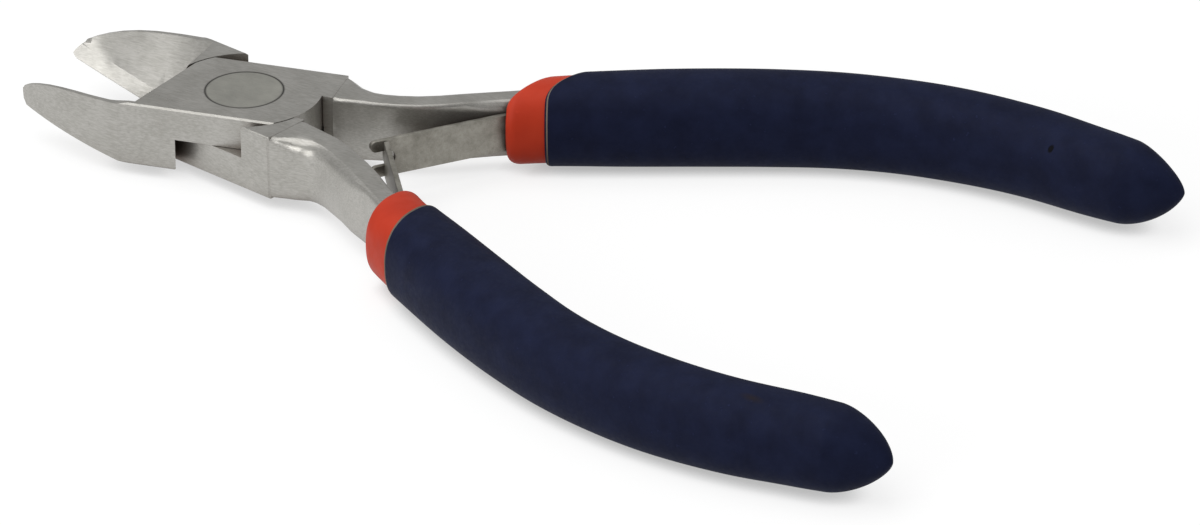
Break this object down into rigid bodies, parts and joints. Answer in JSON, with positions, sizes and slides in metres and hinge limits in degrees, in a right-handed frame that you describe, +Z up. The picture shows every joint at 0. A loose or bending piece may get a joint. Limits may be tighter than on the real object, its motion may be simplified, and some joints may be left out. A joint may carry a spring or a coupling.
{
  "type": "diagonal cutting pliers",
  "caption": "Small diagonal cutting pliers with a lap joint, bevelled jaws, a fork-and-tongue leaf spring and bowed two-colour sleeved handles.",
  "frame": {"origin": "the joint rivet's axis, on the joint's flat underside", "axes": "+X towards the jaw tips, +Y towards the upper half's jaw, +Z up along the rivet's axis"},
  "size_m": [0.1153, 0.0714, 0.0099],
  "materials": {
    "forged_steel": "satin ground",
    "rivet_steel": "satin ground flush",
    "spring_steel": "dull rolled strip",
    "orange_sleeve": "smooth matte",
    "navy_sleeve": "fine matte grain"
  },
  "bodies": {
    "upper": {"upper_half": "forged_steel", "pivot_rivet": "rivet_steel", "fork_leaf": "spring_steel", "fork_leaf_rivet": "rivet_steel", "upper_inner_sleeve": "orange_sleeve", "upper_outer_sleeve": "navy_sleeve"},
    "lower": {"lower_half": "forged_steel", "tongue_leaf": "spring_steel", "tongue_leaf_rivet": "rivet_steel", "lower_inner_sleeve": "orange_sleeve", "lower_outer_sleeve": "navy_sleeve"}
  },
  "joints": [
    {"name": "pivot", "type": "hinge", "parent": "upper", "child": "lower", "pos_m": [0, 0, 0.00347], "axis": [0, 0, 1], "range_deg": [-3, 24], "stiffness_Nm_per_rad": 1.3, "deforming": ["fork_leaf", "tongue_leaf"]}
  ]
}
